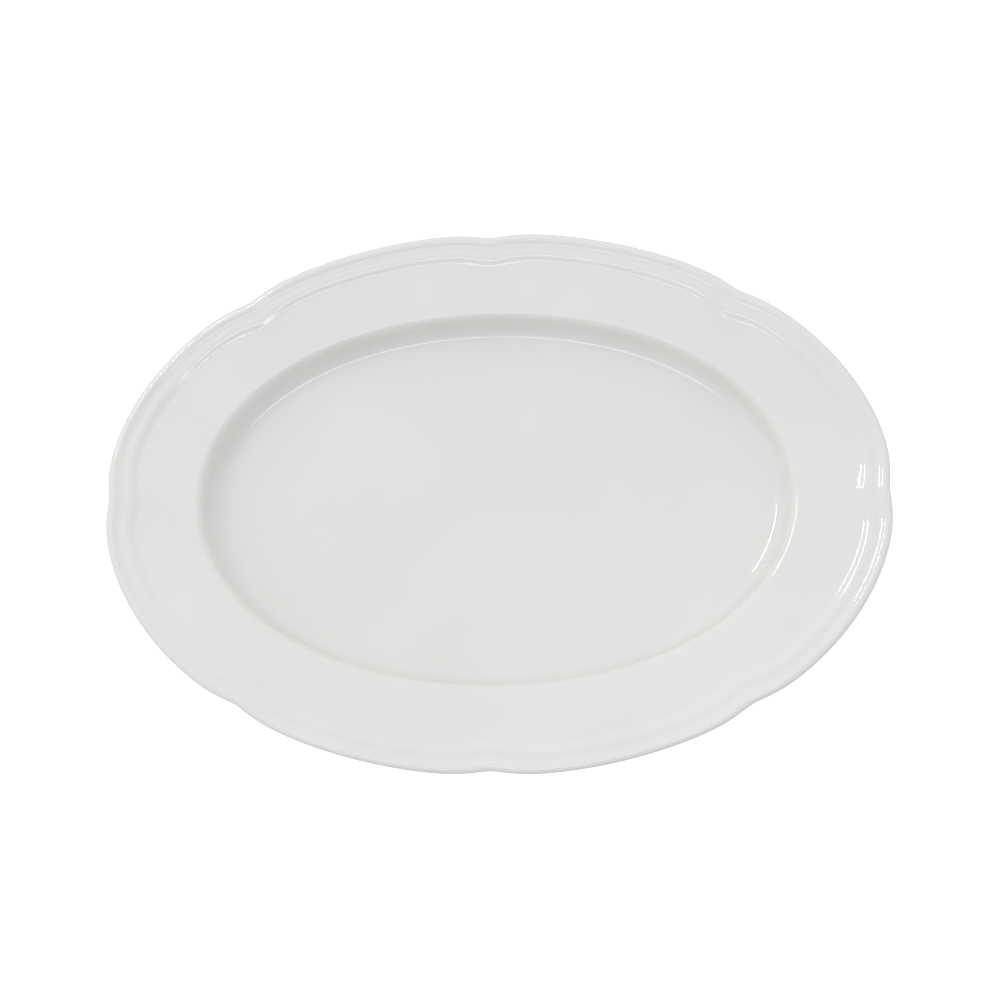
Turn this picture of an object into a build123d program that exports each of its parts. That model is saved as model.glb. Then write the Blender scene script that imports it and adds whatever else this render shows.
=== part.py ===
from build123d import *
import math
import os

os.makedirs("parts", exist_ok=True)

# Oval china serving platter with a scalloped rim, a plain sloping flange, a flat-floored well and a
# foot ring. Millimetres, +Z up. The origin is at the middle of the plane that the foot ring stands on,
# X runs along the length and Y across the width. It has three pieces: the fired china body, the glaze
# that covers it from the well round the lip to the foot ring, and the glaze on the base inside the
# foot ring. The foot ring's resting edge is dry.

# The rim's oval, over the glaze: the scallops' crests touch it and the notches cut into it
rim_length = 350.0
rim_width = 243.0

# Glaze, on the china everywhere except the foot ring's resting edge
glaze_thickness = 0.3

# Scallops: pointed notches, evenly spaced along the rim, and deeper in the relief beside it
notch_count = 8
rim_notch_depth = 2.1
inner_notch_depth = 3.4
notch_reach = 11.6
notch_power = 1.5
scallop_fade = 8.0

# Lip: it falls a little from its crest to the outer edge
lip_width = 2.2
lip_thickness = 4.6
lip_fall = 1.1
lip_edge_radius = 1.9
lip_crest_radius = 1.9
under_edge_radius = 1.6

# Two raised steps inside the lip with a level band between them
first_step_width = 2.9
first_step_drop = 1.8
band_width = 3.8
second_step_width = 3.0
second_step_drop = 1.8
step_radius = 5.0

# Flange, wall and well
flange_width = 29.9
flange_narrowing_at_side = 4.4
flange_fall = 3.4
wall_run = 2.3
well_depth = 20.0
well_fullness = 0.012
flange_corner_radius = 3.0
floor_corner_radius = 8.0

# Thickness of the china
flange_thickness = 4.2
wall_thickness = 4.4
floor_thickness = 4.6

# Foot ring
foot_height = 2.6
foot_setback = 5.0
foot_draft = 0.8
foot_width = 5.0
foot_edge_radius = 1.1
foot_corner_radius = 1.5
under_wall_radius = 4.0
under_flange_radius = 9.0
under_lip_radius = 9.0

# No rounded corner takes up more than this share of the shorter run beside it
largest_corner_share = 0.48

# Fineness of the skins: points round each scallop and how much they crowd at the notches, how far the
# facets across a rounded corner may stand off it, and the longest step along a straight stretch
points_per_scallop = 18
notch_crowding = 0.6
corner_facet_gap = 0.02
longest_step = 4.5

# The china's own size, and the places along its section, inset from the rim and up from the foot
half_length = rim_length / 2 - glaze_thickness
half_width = rim_width / 2 - glaze_thickness
floor_height = foot_height + floor_thickness
rim_height = floor_height + well_depth
relief_width = lip_width + first_step_width + band_width + second_step_width
flange_inset = relief_width + flange_width
floor_inset = flange_inset + wall_run
first_step_height = rim_height - first_step_drop
second_step_height = first_step_height - second_step_drop
flange_height = second_step_height - flange_fall


def under_corner(before, corner, after, thickness_before, thickness_after):
    """The corner on the underside that keeps each stretch's thickness below a corner of the face."""
    first = (corner - before).normalized().rotate(Axis.Z, -90) * thickness_before
    second = (after - corner).normalized().rotate(Axis.Z, -90) * thickness_after
    under_before = Axis(corner + first, corner - before)
    under_after = Axis(corner + second, after - corner)
    return under_before.intersect(under_after)


relief_corner = Vector(relief_width, second_step_height)
flange_corner = Vector(flange_inset, flange_height)
floor_corner = Vector(floor_inset, floor_height)
floor_middle = Vector(half_length, floor_height)
under_flange_corner = under_corner(
    relief_corner, flange_corner, floor_corner, flange_thickness, wall_thickness
)
under_wall_corner = under_corner(
    flange_corner, floor_corner, floor_middle, wall_thickness, floor_thickness
)
foot_top = Vector(under_wall_corner.X + foot_setback, foot_height)
foot_bottom = Vector(foot_top.X + foot_draft, 0)
foot_inner_bottom = Vector(foot_bottom.X + foot_width, 0)
foot_inner_top = Vector(foot_inner_bottom.X + foot_draft, foot_height)
base_middle = Vector(half_length, foot_height)
under_lip_corner = Vector(relief_width, second_step_height - flange_thickness)

# The section from the foot ring up the underside, round the lip and down the face: corner, radius
outer_section = [
    (foot_bottom, foot_edge_radius),
    (foot_top, foot_corner_radius),
    (under_wall_corner, under_wall_radius),
    (under_flange_corner, under_flange_radius),
    (under_lip_corner, under_lip_radius),
    (Vector(0, rim_height - lip_thickness), under_edge_radius),
    (Vector(0, rim_height - lip_fall), lip_edge_radius),
    (Vector(lip_width, rim_height), lip_crest_radius),
    (Vector(lip_width + first_step_width, first_step_height), step_radius),
    (Vector(relief_width - second_step_width, first_step_height), step_radius),
    (relief_corner, step_radius),
    (flange_corner, flange_corner_radius),
    (floor_corner, floor_corner_radius),
]

# The section of the hollow inside the foot ring, from the resting edge up to the base
recess_section = [
    (foot_inner_bottom, foot_edge_radius),
    (foot_inner_top, foot_corner_radius),
]


def fitted_radius(before, corner, after, radius):
    """The corner's radius, or the largest that leaves the runs on both sides of it room."""
    arriving = corner - before
    leaving = after - corner
    half_turn = math.radians(arriving.get_angle(leaving)) / 2
    shorter_run = min(arriving.length, leaving.length)
    return min(radius, largest_corner_share * shorter_run / math.tan(half_turn))


def steps_along(stretch):
    """How many steps one arc or line of a section is divided into."""
    if stretch.geom_type == GeomType.CIRCLE:
        step_angle = 2 * math.acos(1 - corner_facet_gap / stretch.radius)
        return math.ceil(stretch.length / stretch.radius / step_angle)
    return math.ceil(stretch.length / longest_step)


def stations(start, corners, end, offset=0, bare_stretches=1):
    """Places along a rounded section, moved to the left of it by offset, past its first stretches."""
    points = [start] + [corner for corner, radius in corners] + [end]
    radii = []
    for number, (corner, radius) in enumerate(corners):
        radii.append(fitted_radius(points[number], corner, points[number + 2], radius))
    with BuildLine() as section:
        FilletPolyline(*points, radius=radii)
    stretches = section.wire().order_edges()
    places = []
    for stretch in stretches[bare_stretches:-1]:
        count = steps_along(stretch)
        places += [(stretch @ (step / count), stretch % (step / count)) for step in range(count)]
    places.append((stretches[-1] @ 0, stretches[-1] % 0))
    return [place + along.rotate(Axis.Z, 90) * offset for place, along in places]


def notch_depth(inset):
    """How deep the scallop's notches are at this distance in from the rim."""
    if inset < relief_width:
        across = max(inset, 0) / relief_width
        return rim_notch_depth + (inner_notch_depth - rim_notch_depth) * across
    return inner_notch_depth * max(1 - (inset - relief_width) / scallop_fade, 0)


def ring(inset):
    """A closed outline at this distance in from the rim: scalloped at first, a plain oval at the well."""
    across_flange = min(max((inset - relief_width) / flange_width, 0), 1)
    oval_length = half_length - inset
    oval_width = half_width - inset + flange_narrowing_at_side * across_flange
    points = []
    for share in rim_shares[:-1]:
        on_rim = rim_oval @ share
        inwards = (rim_oval % share).rotate(Axis.Z, 90)
        turn = share * notch_count
        from_notch = abs(turn - round(turn)) * rim_oval.length / notch_count
        notch = notch_depth(inset) * math.exp(-((from_notch / notch_reach) ** notch_power))
        beside_rim = on_rim + inwards * (inset + notch)
        cosine = on_rim.X / half_length
        sine = on_rim.Y / half_width
        fullness = 1 + well_fullness * (2 * sine * cosine) ** 2
        on_oval = Vector(oval_length * cosine, oval_width * sine) * fullness
        points.append(beside_rim + (on_oval - beside_rim) * across_flange)
    return points


def crowded(turn):
    """A place round the rim, counted in scallops, moved towards the nearest notch."""
    return turn - notch_crowding * math.sin(2 * math.pi * turn) / (2 * math.pi)


def ring_sketches(places):
    """One flat sketch for each place along a section, ready to loft."""
    sketches = []
    for place in places:
        with BuildSketch(Plane.XY.offset(place.Y)) as sketch:
            with BuildLine():
                add(Edge.make_spline(ring(place.X), periodic=True, parameters=rim_shares))
            make_face()
        sketches.append(sketch.sketch)
    return sketches


rim_oval = Edge.make_ellipse(half_length, half_width)
rim_steps = range(notch_count * points_per_scallop + 1)
rim_shares = [crowded(step / points_per_scallop) / notch_count for step in rim_steps]

# The china's surfaces, and the same surfaces moved out by the glaze. The glaze starts past the foot
# ring's rounded edge, which is the first rounded corner of each section.
outside = (foot_inner_bottom, outer_section, floor_middle)
recess = (foot_bottom, recess_section, base_middle)
bare_outside = stations(*outside)
bare_recess = stations(*recess)
glazed_outside = stations(*outside, bare_stretches=2)
glazed_recess = stations(*recess, bare_stretches=2)
outside_glaze = stations(*outside, offset=glaze_thickness, bare_stretches=2)
recess_glaze = stations(*recess, offset=-glaze_thickness, bare_stretches=2)

# The fired china: from the foot ring up the underside, round the lip and down to the well's floor, with
# the hollow inside the foot ring taken out of it
with BuildPart() as porcelain_body:
    loft(ring_sketches(bare_outside), ruled=True)
    loft(ring_sketches(bare_recess), ruled=True, mode=Mode.SUBTRACT)
porcelain_body.part.label = "porcelain_body"
export_step(porcelain_body.part, "parts/porcelain_body.step")

# The glaze over the face, round the lip and down the underside to the foot ring
with BuildPart() as glaze_coat:
    loft(ring_sketches(glazed_outside[::-1] + outside_glaze), ruled=True)
glaze_coat.part.label = "glaze_coat"
export_step(glaze_coat.part, "parts/glaze_coat.step")

# The glaze on the base and down the inner side of the foot ring
with BuildPart() as base_glaze:
    loft(ring_sketches(glazed_recess[::-1] + recess_glaze), ruled=True)
base_glaze.part.label = "base_glaze"
export_step(base_glaze.part, "parts/base_glaze.step")
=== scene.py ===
import math

import bpy
import numpy as np
from mathutils import Matrix, Vector


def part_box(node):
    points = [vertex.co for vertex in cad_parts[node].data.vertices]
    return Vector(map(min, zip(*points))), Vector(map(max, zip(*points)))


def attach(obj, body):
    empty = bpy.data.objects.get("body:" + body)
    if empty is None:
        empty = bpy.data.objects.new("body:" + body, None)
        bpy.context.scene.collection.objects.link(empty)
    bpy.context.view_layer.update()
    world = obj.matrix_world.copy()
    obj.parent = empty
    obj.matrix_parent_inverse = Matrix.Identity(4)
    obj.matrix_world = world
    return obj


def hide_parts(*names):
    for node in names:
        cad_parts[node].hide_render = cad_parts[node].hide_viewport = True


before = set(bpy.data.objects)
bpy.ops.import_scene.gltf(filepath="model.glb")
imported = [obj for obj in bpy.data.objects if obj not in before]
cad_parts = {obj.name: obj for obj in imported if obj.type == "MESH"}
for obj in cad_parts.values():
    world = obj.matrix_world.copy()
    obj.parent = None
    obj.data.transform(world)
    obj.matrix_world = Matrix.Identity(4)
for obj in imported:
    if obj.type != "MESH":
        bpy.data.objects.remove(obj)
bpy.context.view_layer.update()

# A white china serving platter seen from above, with plain white all round it. The two pieces of glaze
# are rebuilt as fine meshes from the same section as the CAD nodes they stand for. The china body keeps
# its CAD mesh. Lengths in the section are millimetres, and become metres when a mesh is made.

MM = 0.001

# The section, as in the CAD model
RIM_LENGTH = 350.0
RIM_WIDTH = 243.0
GLAZE = 0.3
NOTCH_COUNT = 8
RIM_NOTCH_DEPTH = 2.1
INNER_NOTCH_DEPTH = 3.4
NOTCH_REACH = 11.6
NOTCH_POWER = 1.5
SCALLOP_FADE = 8.0
LIP_WIDTH = 2.2
LIP_THICKNESS = 4.6
LIP_FALL = 1.1
LIP_EDGE_RADIUS = 1.9
LIP_CREST_RADIUS = 1.9
UNDER_EDGE_RADIUS = 1.6
FIRST_STEP_WIDTH = 2.9
FIRST_STEP_DROP = 1.8
BAND_WIDTH = 3.8
SECOND_STEP_WIDTH = 3.0
SECOND_STEP_DROP = 1.8
STEP_RADIUS = 5.0
FLANGE_WIDTH = 29.9
FLANGE_NARROWING = 4.4
FLANGE_FALL = 3.4
WALL_RUN = 2.3
WELL_DEPTH = 20.0
WELL_FULLNESS = 0.012
FLANGE_CORNER_RADIUS = 3.0
FLOOR_CORNER_RADIUS = 8.0
FLANGE_THICKNESS = 4.2
WALL_THICKNESS = 4.4
FLOOR_THICKNESS = 4.6
FOOT_HEIGHT = 2.6
FOOT_SETBACK = 5.0
FOOT_DRAFT = 0.8
FOOT_WIDTH = 5.0
FOOT_EDGE_RADIUS = 1.1
FOOT_CORNER_RADIUS = 1.5
UNDER_WALL_RADIUS = 4.0
UNDER_FLANGE_RADIUS = 9.0
UNDER_LIP_RADIUS = 9.0
LARGEST_CORNER_SHARE = 0.48

RIM_HALF_LENGTH = RIM_LENGTH / 2 - GLAZE
RIM_HALF_WIDTH = RIM_WIDTH / 2 - GLAZE
FLOOR_HEIGHT = FOOT_HEIGHT + FLOOR_THICKNESS
RIM_HEIGHT = FLOOR_HEIGHT + WELL_DEPTH
RELIEF_WIDTH = LIP_WIDTH + FIRST_STEP_WIDTH + BAND_WIDTH + SECOND_STEP_WIDTH
FLANGE_INSET = RELIEF_WIDTH + FLANGE_WIDTH

# Fineness of the meshes: points round each ring, the turn and the length of one step along the section,
# rings that close an end, and the steps used to measure along the rim
POINTS_ROUND = 720
ARC_STEP = math.radians(4)
FEWEST_ARC_STEPS = 2
LONGEST_STEP = 1.3
HIDDEN_STEP = 6.0
CAP_RINGS = 24
RIM_MEASURING_STEPS = 20000

# In the studio, side angle 0 is behind the platter and turns to the left. Angles are in degrees.

# Camera: it looks down at the rim's plane, a little from the front and right, and is rolled. The target
# and the distance are in half lengths of the rim, and the lens is in widths of the sensor.
CAMERA_SIDE_ANGLE = 202.95
CAMERA_HEIGHT_ANGLE = 79.23
CAMERA_ROLL = 23.44
CAMERA_DISTANCE = 3.0
CAMERA_TARGET = (0.0257, -0.0170)
CAMERA_LENS = 1.1956
SENSOR_WIDTH = 36.0
NEAREST_SEEN = 0.01

# Stage, in metres
FLOOR_SIZE = 40.0
BACKDROP_SEGMENTS = 48
LAMP_DISTANCE = 2.0

# Surroundings: the tent's brightness at the ground and overhead, and the dim opening in it. The opening
# fades in between two cosines of the angle from its middle, down to a share of the tent's brightness.
TENT_LOW = 0.95
TENT_HIGH = 0.855
OPENING_SIDE_ANGLE = 204
OPENING_HEIGHT_ANGLE = 20
OPENING_OUTER_COSINE = 0.4
OPENING_INNER_COSINE = 0.95
OPENING_BRIGHTNESS = 0.62


def corner_under(before, corner, after, thickness_before, thickness_after):
    """The corner of the underside below a corner of the face, for the thickness of each side."""
    lines = []
    for start, end, thickness in ((before, corner, thickness_before), (corner, after, thickness_after)):
        along = (np.array(end) - np.array(start)) / math.dist(start, end)
        lines.append((np.array(corner) + np.array([along[1], -along[0]]) * thickness, along))
    (point, along), (other_point, other_along) = lines
    gap = other_point - point
    distance = (gap[0] * other_along[1] - gap[1] * other_along[0]) / (
        along[0] * other_along[1] - along[1] * other_along[0]
    )
    return tuple(point + along * distance)


def outer_corners():
    """Corners of the section with their radii, from the foot ring's inner side round to the floor."""
    relief = (RELIEF_WIDTH, RIM_HEIGHT - FIRST_STEP_DROP - SECOND_STEP_DROP)
    flange = (FLANGE_INSET, relief[1] - FLANGE_FALL)
    floor = (FLANGE_INSET + WALL_RUN, FLOOR_HEIGHT)
    middle = (RIM_HALF_LENGTH, FLOOR_HEIGHT)
    under_flange = corner_under(relief, flange, floor, FLANGE_THICKNESS, WALL_THICKNESS)
    under_wall = corner_under(flange, floor, middle, WALL_THICKNESS, FLOOR_THICKNESS)
    foot_top = (under_wall[0] + FOOT_SETBACK, under_wall[1])
    foot_bottom = (foot_top[0] + FOOT_DRAFT, 0.0)
    band_height = RIM_HEIGHT - FIRST_STEP_DROP
    return [
        ((foot_bottom[0] + FOOT_WIDTH, 0.0), 0.0),
        (foot_bottom, FOOT_EDGE_RADIUS),
        (foot_top, FOOT_CORNER_RADIUS),
        (under_wall, UNDER_WALL_RADIUS),
        (under_flange, UNDER_FLANGE_RADIUS),
        ((RELIEF_WIDTH, relief[1] - FLANGE_THICKNESS), UNDER_LIP_RADIUS),
        ((0.0, RIM_HEIGHT - LIP_THICKNESS), UNDER_EDGE_RADIUS),
        ((0.0, RIM_HEIGHT - LIP_FALL), LIP_EDGE_RADIUS),
        ((LIP_WIDTH, RIM_HEIGHT), LIP_CREST_RADIUS),
        ((LIP_WIDTH + FIRST_STEP_WIDTH, band_height), STEP_RADIUS),
        ((RELIEF_WIDTH - SECOND_STEP_WIDTH, band_height), STEP_RADIUS),
        (relief, STEP_RADIUS),
        (flange, FLANGE_CORNER_RADIUS),
        (floor, FLOOR_CORNER_RADIUS),
        (middle, 0.0),
    ]


def recess_corners():
    """Corners of the hollow's section inside the foot ring, from the resting edge to the base."""
    outer = outer_corners()
    base_height = outer[2][0][1]
    foot_inner = outer[0][0]
    return [
        (outer[1][0], 0.0),
        (foot_inner, FOOT_EDGE_RADIUS),
        ((foot_inner[0] + FOOT_DRAFT, base_height), FOOT_CORNER_RADIUS),
        ((RIM_HALF_LENGTH, base_height), 0.0),
    ]


def rounded(corners, longest):
    """Points and directions along a section with rounded corners, one list for each stretch.

    As in the CAD model, no corner takes up more than its share of the shorter run beside it.
    """
    points = [np.array(corner) for corner, radius in corners]
    stretches = []
    start = points[0]
    for number in range(1, len(points) - 1):
        corner = points[number]
        run_before = float(np.linalg.norm(corner - points[number - 1]))
        run_after = float(np.linalg.norm(points[number + 1] - corner))
        arriving = (corner - points[number - 1]) / run_before
        leaving = (points[number + 1] - corner) / run_after
        turn = math.atan2(arriving[0] * leaving[1] - arriving[1] * leaving[0], arriving @ leaving)
        longest_trim = LARGEST_CORNER_SHARE * min(run_before, run_after)
        radius = min(corners[number][1], longest_trim / math.tan(abs(turn) / 2))
        trim = radius * math.tan(abs(turn) / 2)
        arc_start = corner - arriving * trim
        stretches.append(straight(start, arc_start, longest))
        steps = max(math.ceil(abs(turn) / ARC_STEP), FEWEST_ARC_STEPS)
        side = math.copysign(1, turn) * np.array([-arriving[1], arriving[0]])
        centre = arc_start + side * radius
        arc = []
        for step in range(steps):
            angle = turn * step / steps
            spin = np.array([[math.cos(angle), -math.sin(angle)], [math.sin(angle), math.cos(angle)]])
            arc.append((centre + spin @ (arc_start - centre), spin @ arriving))
        stretches.append(arc)
        start = corner + leaving * trim
    stretches.append([(start, leaving)])
    return stretches


def straight(start, end, longest):
    """Points along a straight stretch, closer together near its ends."""
    length = float(np.linalg.norm(end - start))
    steps = max(math.ceil(length / longest), 1)
    shares = [0.5 - 0.5 * math.cos(math.pi * step / steps) for step in range(steps)]
    return [(start + (end - start) * share, (end - start) / length) for share in shares]


def path(corners, offset=0.0, bare=1, longest=LONGEST_STEP):
    """A section as one run of (inset, height), moved to its left by offset, past its first stretches."""
    run = []
    for stretch in rounded(corners, longest)[bare:]:
        run += [point + offset * np.array([-along[1], along[0]]) for point, along in stretch]
    return np.array(run)


def round_the_rim():
    """Evenly spaced places round the rim's oval: eccentric angle, and distance from the nearest notch."""
    fine = np.linspace(0, 2 * math.pi, RIM_MEASURING_STEPS + 1)
    steps = np.hypot(
        np.diff(RIM_HALF_LENGTH * np.cos(fine)), np.diff(RIM_HALF_WIDTH * np.sin(fine))
    )
    walked = np.concatenate([[0], np.cumsum(steps)])
    along = np.arange(POINTS_ROUND) / POINTS_ROUND * walked[-1]
    scallop = walked[-1] / NOTCH_COUNT
    from_notch = np.abs(along - np.round(along / scallop) * scallop)
    return np.interp(along, walked, fine), from_notch


ANGLE, FROM_NOTCH = round_the_rim()
COSINE, SINE = np.cos(ANGLE), np.sin(ANGLE)
NOTCH_SHAPE = np.exp(-((FROM_NOTCH / NOTCH_REACH) ** NOTCH_POWER))
ON_RIM = np.stack([RIM_HALF_LENGTH * COSINE, RIM_HALF_WIDTH * SINE], axis=-1)
INWARDS = -np.stack([COSINE / RIM_HALF_LENGTH, SINE / RIM_HALF_WIDTH], axis=-1)
INWARDS /= np.linalg.norm(INWARDS, axis=1)[:, None]


def notch_depth(inset):
    """How deep the notches are at a distance in from the rim."""
    if inset < RELIEF_WIDTH:
        return RIM_NOTCH_DEPTH + (INNER_NOTCH_DEPTH - RIM_NOTCH_DEPTH) * max(inset, 0) / RELIEF_WIDTH
    return INNER_NOTCH_DEPTH * max(1 - (inset - RELIEF_WIDTH) / SCALLOP_FADE, 0)


def ring(inset, height, scale=1.0):
    """Points round the platter at one place of the section, in metres."""
    across = min(max((inset - RELIEF_WIDTH) / FLANGE_WIDTH, 0), 1)
    beside_rim = ON_RIM + INWARDS * (inset + notch_depth(inset) * NOTCH_SHAPE)[:, None]
    fullness = 1 + WELL_FULLNESS * (2 * SINE * COSINE) ** 2
    half_length = RIM_HALF_LENGTH - inset
    half_width = RIM_HALF_WIDTH - inset + FLANGE_NARROWING * across
    oval = np.stack([half_length * COSINE, half_width * SINE], axis=-1) * fullness[:, None]
    flat = (beside_rim + (oval - beside_rim) * across) * scale
    return np.column_stack([flat, np.full(POINTS_ROUND, height)]) * MM


def capped_rings(run):
    """The rings of a run, closed at each end by shrinking rings."""
    rings = [ring(*run[0], scale=share) for share in np.linspace(0, 1, CAP_RINGS)[1:-1]]
    rings += [ring(*place) for place in run]
    rings += [ring(*run[-1], scale=share) for share in np.linspace(1, 0, CAP_RINGS)[1:-1]]
    return rings


def skin(name, run):
    """A closed mesh object through the rings of a run, with a point at the middle of each end."""
    rings = capped_rings(run)
    vertices = np.concatenate(rings + [[[0, 0, run[0][1] * MM]], [[0, 0, run[-1][1] * MM]]])
    count = len(rings)
    near, far = count * POINTS_ROUND, count * POINTS_ROUND + 1
    here = np.arange(POINTS_ROUND)
    after = (here + 1) % POINTS_ROUND
    faces = []
    for number in range(count - 1):
        low, high = number * POINTS_ROUND, (number + 1) * POINTS_ROUND
        faces += np.stack([low + here, low + after, high + after, high + here], axis=-1).tolist()
    last = (count - 1) * POINTS_ROUND
    faces += [[near, int(b), int(a)] for a, b in zip(here, after)]
    faces += [[far, int(last + a), int(last + b)] for a, b in zip(here, after)]
    mesh = bpy.data.meshes.new(name)
    mesh.from_pydata(vertices.tolist(), [], faces)
    mesh.shade_smooth()
    mesh.validate()
    piece = bpy.data.objects.new(name, mesh)
    bpy.context.scene.collection.objects.link(piece)
    return piece


def shell_run(corners, offset):
    """Back along the china's surface and out along the glaze's, for a closed skin of glaze."""
    hidden = path(corners, bare=2, longest=HIDDEN_STEP)
    return np.concatenate([hidden[::-1], path(corners, offset=offset, bare=2)])


def node_material(name):
    """A new material, its node tree and the tree's Principled shader."""
    material = bpy.data.materials.new(name)
    material.use_nodes = True
    return material, material.node_tree, material.node_tree.nodes["Principled BSDF"]


def noise(tree, scale, detail):
    """Noise in the object's own space."""
    place = tree.nodes.new("ShaderNodeTexCoord")
    texture = tree.nodes.new("ShaderNodeTexNoise")
    texture.inputs["Scale"].default_value = scale
    texture.inputs["Detail"].default_value = detail
    tree.links.new(place.outputs["Object"], texture.inputs["Vector"])
    return texture


def ramp(tree, source, low, high):
    """A ramp between two colours over the middle of a noise's range."""
    colours = tree.nodes.new("ShaderNodeValToRGB")
    first, last = colours.color_ramp.elements
    first.position, last.position = 0.35, 0.65
    first.color, last.color = (*low, 1), (*high, 1)
    tree.links.new(source, colours.inputs["Fac"])
    return colours


def bump(tree, height, distance, strength):
    """A bump of the given real height in metres."""
    node = tree.nodes.new("ShaderNodeBump")
    node.inputs["Distance"].default_value = distance
    node.inputs["Strength"].default_value = strength
    tree.links.new(height, node.inputs["Height"])
    return node


def glaze_material():
    """Glossy white glaze: a faint drift of colour and a very slight waviness of the glass."""
    material, tree, shader = node_material("glaze")
    drift = noise(tree, scale=14.0, detail=3.0)
    colours = ramp(
        tree, drift.outputs["Fac"], low=(0.855, 0.865, 0.842), high=(0.880, 0.885, 0.865)
    )
    tree.links.new(colours.outputs["Color"], shader.inputs["Base Color"])
    shader.inputs["Roughness"].default_value = 0.07
    shader.inputs["IOR"].default_value = 1.52
    ripple = noise(tree, scale=30.0, detail=2.0)
    waves = bump(tree, ripple.outputs["Fac"], distance=0.0002, strength=0.12)
    tree.links.new(waves.outputs["Normal"], shader.inputs["Normal"])
    return material


def dry_china_material():
    """Unglazed fired china: matt and fine grained."""
    material, tree, shader = node_material("dry_china")
    grain = noise(tree, scale=900.0, detail=6.0)
    colours = ramp(
        tree, grain.outputs["Fac"], low=(0.60, 0.585, 0.545), high=(0.70, 0.685, 0.645)
    )
    tree.links.new(colours.outputs["Color"], shader.inputs["Base Color"])
    shader.inputs["Roughness"].default_value = 0.85
    grit = bump(tree, grain.outputs["Fac"], distance=0.00008, strength=0.6)
    tree.links.new(grit.outputs["Normal"], shader.inputs["Normal"])
    return material


def floor_material():
    """A plain pale studio floor."""
    material, _, shader = node_material("studio_floor")
    shader.inputs["Base Color"].default_value = (0.55, 0.55, 0.55, 1)
    shader.inputs["Roughness"].default_value = 0.9
    shader.inputs["Specular IOR Level"].default_value = 0.0
    return material


def backdrop_material():
    """Plain white light."""
    material, _, shader = node_material("white_backdrop")
    shader.inputs["Base Color"].default_value = (0, 0, 0, 1)
    shader.inputs["Specular IOR Level"].default_value = 0.0
    shader.inputs["Emission Color"].default_value = (1, 1, 1, 1)
    shader.inputs["Emission Strength"].default_value = 1.1
    return material


def ride_as(piece, node, material):
    """The piece stands for a CAD node of the glaze."""
    piece.data.materials.append(material)
    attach(piece, "root")
    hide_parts(node)


glaze = glaze_material()
ride_as(skin("face_and_rim_glaze", shell_run(outer_corners(), GLAZE)), "glaze_coat", glaze)
ride_as(skin("foot_recess_glaze", shell_run(recess_corners(), -GLAZE)), "base_glaze", glaze)

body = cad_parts["porcelain_body"]
body.data.materials.clear()
body.data.materials.append(dry_china_material())


def studio_floor():
    """The floor under the platter. It lights the underside, and the camera doesn't see it."""
    bpy.ops.mesh.primitive_plane_add(size=FLOOR_SIZE)
    floor = bpy.context.object
    floor.name = "studio_floor"
    floor.data.materials.append(floor_material())
    floor.visible_camera = False
    return floor


def white_backdrop():
    """Plain white all round the platter, which only the camera sees."""
    bpy.ops.mesh.primitive_uv_sphere_add(
        segments=BACKDROP_SEGMENTS, ring_count=BACKDROP_SEGMENTS // 2, radius=FLOOR_SIZE / 2
    )
    backdrop = bpy.context.object
    backdrop.name = "white_backdrop"
    backdrop.data.materials.append(backdrop_material())
    backdrop.visible_diffuse = False
    backdrop.visible_glossy = False
    backdrop.visible_transmission = False
    backdrop.visible_shadow = False
    return backdrop


def towards(side_angle, height_angle):
    """The direction of a place in the studio, from the platter."""
    side, rise = math.radians(side_angle), math.radians(height_angle)
    return Vector((-math.sin(side) * math.cos(rise), math.cos(side) * math.cos(rise), math.sin(rise)))


def aimed_camera():
    """The camera at its place, turned to its target and rolled."""
    reach = RIM_LENGTH / 2 * MM
    rim_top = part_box("glaze_coat")[1][2]
    roll = math.radians(CAMERA_ROLL)
    back = towards(CAMERA_SIDE_ANGLE, CAMERA_HEIGHT_ANGLE)
    level = Vector((0, 0, 1)).cross(back).normalized()
    upright = back.cross(level)
    right = level * math.cos(roll) - upright * math.sin(roll)
    up = level * math.sin(roll) + upright * math.cos(roll)
    target = Vector((CAMERA_TARGET[0] * reach, CAMERA_TARGET[1] * reach, rim_top))
    camera = bpy.data.objects.new("camera", bpy.data.cameras.new("camera"))
    camera.data.sensor_width = SENSOR_WIDTH
    camera.data.lens = CAMERA_LENS * SENSOR_WIDTH
    camera.data.clip_start = NEAREST_SEEN
    turned = Matrix((right, up, back)).transposed().to_4x4()
    camera.matrix_world = Matrix.Translation(target + back * CAMERA_DISTANCE * reach) @ turned
    bpy.context.scene.collection.objects.link(camera)
    return camera


def softbox(name, side_angle, height_angle, width, height, power):
    """A rectangular light that faces the platter."""
    data = bpy.data.lights.new(name, "AREA")
    data.shape = "RECTANGLE"
    data.size, data.size_y = width, height
    data.energy = power
    lamp = bpy.data.objects.new(name, data)
    direction = towards(side_angle, height_angle)
    lamp.location = direction * LAMP_DISTANCE
    lamp.rotation_euler = direction.to_track_quat("Z", "Y").to_euler()
    bpy.context.scene.collection.objects.link(lamp)
    return lamp


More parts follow.
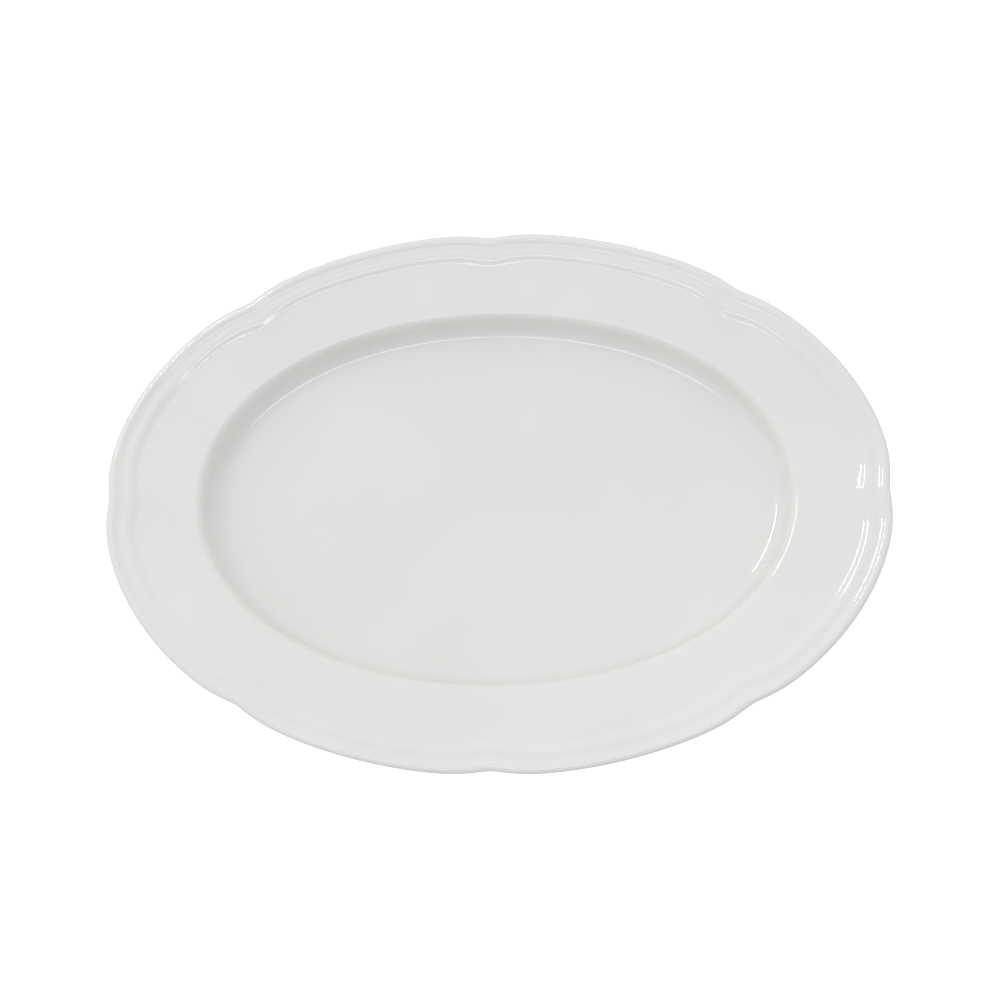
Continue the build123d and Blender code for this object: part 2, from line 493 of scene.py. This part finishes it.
def map_range(tree, source, low, high, from_low=0.0, from_high=1.0, interpolation="LINEAR"):
    """The output of a node that maps a value to a new range."""
    node = tree.nodes.new("ShaderNodeMapRange")
    node.interpolation_type = interpolation
    node.inputs["From Min"].default_value = from_low
    node.inputs["From Max"].default_value = from_high
    node.inputs["To Min"].default_value = low
    node.inputs["To Max"].default_value = high
    tree.links.new(source, node.inputs["Value"])
    return node.outputs["Result"]


def surroundings():
    """A white tent, brightest near the ground, with a dim opening towards the front and right."""
    world = bpy.data.worlds.new("studio")
    world.use_nodes = True
    tree = world.node_tree
    direction = tree.nodes.new("ShaderNodeTexCoord").outputs["Generated"]
    rise = tree.nodes.new("ShaderNodeSeparateXYZ")
    tree.links.new(direction, rise.inputs["Vector"])
    tent = map_range(tree, rise.outputs["Z"], low=TENT_LOW, high=TENT_HIGH)
    nearness = tree.nodes.new("ShaderNodeVectorMath")
    nearness.operation = "DOT_PRODUCT"
    nearness.inputs[1].default_value = towards(OPENING_SIDE_ANGLE, OPENING_HEIGHT_ANGLE)
    tree.links.new(direction, nearness.inputs[0])
    opening = map_range(
        tree, nearness.outputs["Value"], low=1.0, high=OPENING_BRIGHTNESS,
        from_low=OPENING_OUTER_COSINE, from_high=OPENING_INNER_COSINE, interpolation="SMOOTHSTEP",
    )
    both = tree.nodes.new("ShaderNodeMath")
    both.operation = "MULTIPLY"
    tree.links.new(tent, both.inputs[0])
    tree.links.new(opening, both.inputs[1])
    background = tree.nodes["Background"]
    background.inputs["Color"].default_value = (1, 1, 1, 1)
    tree.links.new(both.outputs["Value"], background.inputs["Strength"])
    return world


studio_floor()
white_backdrop()
bpy.context.scene.camera = aimed_camera()
bpy.context.scene.world = surroundings()

# Two lamps only show as reflections in the glaze. The key light only shades it.
window = softbox("window_light", side_angle=53, height_angle=52, width=0.72, height=0.17, power=9)
window.visible_diffuse = False
panel = softbox("front_panel", side_angle=180, height_angle=68, width=1.6, height=0.20, power=5)
panel.visible_diffuse = False
key = softbox("soft_key", side_angle=66, height_angle=55, width=1.2, height=1.0, power=3.0)
key.visible_glossy = False

view = bpy.context.scene.view_settings
view.view_transform = "Standard"
view.look = "None"
